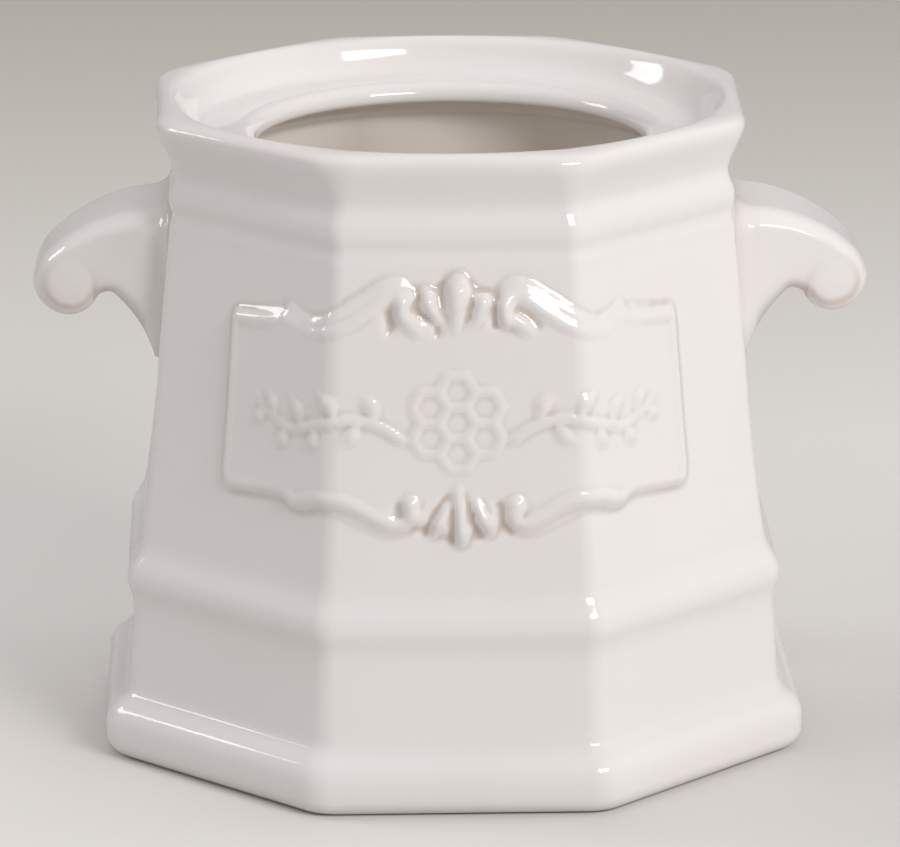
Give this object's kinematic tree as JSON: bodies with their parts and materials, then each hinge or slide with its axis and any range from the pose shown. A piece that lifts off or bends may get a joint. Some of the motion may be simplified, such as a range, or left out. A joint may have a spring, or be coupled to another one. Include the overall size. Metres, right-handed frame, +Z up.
{
  "type": "honey pot",
  "caption": "Eight-sided glazed ceramic honey pot, open and empty, with scroll lugs, moulded foot and rim, a round lid seat and a raised cartouche on the front.",
  "frame": {"origin": "centre of the standing foot, on the surface it rests on", "axes": "+Z up along the pot's axis, +X through the lugs, -Y towards the cartouche at the front"},
  "size_m": [0.1304, 0.1094, 0.1009],
  "materials": {
    "white_glaze": "thick glossy warm white glaze, thin and beige over edges and in hollows"
  },
  "bodies": {
    "root": {"honey_pot": "white_glaze"}
  },
  "joints": []
}
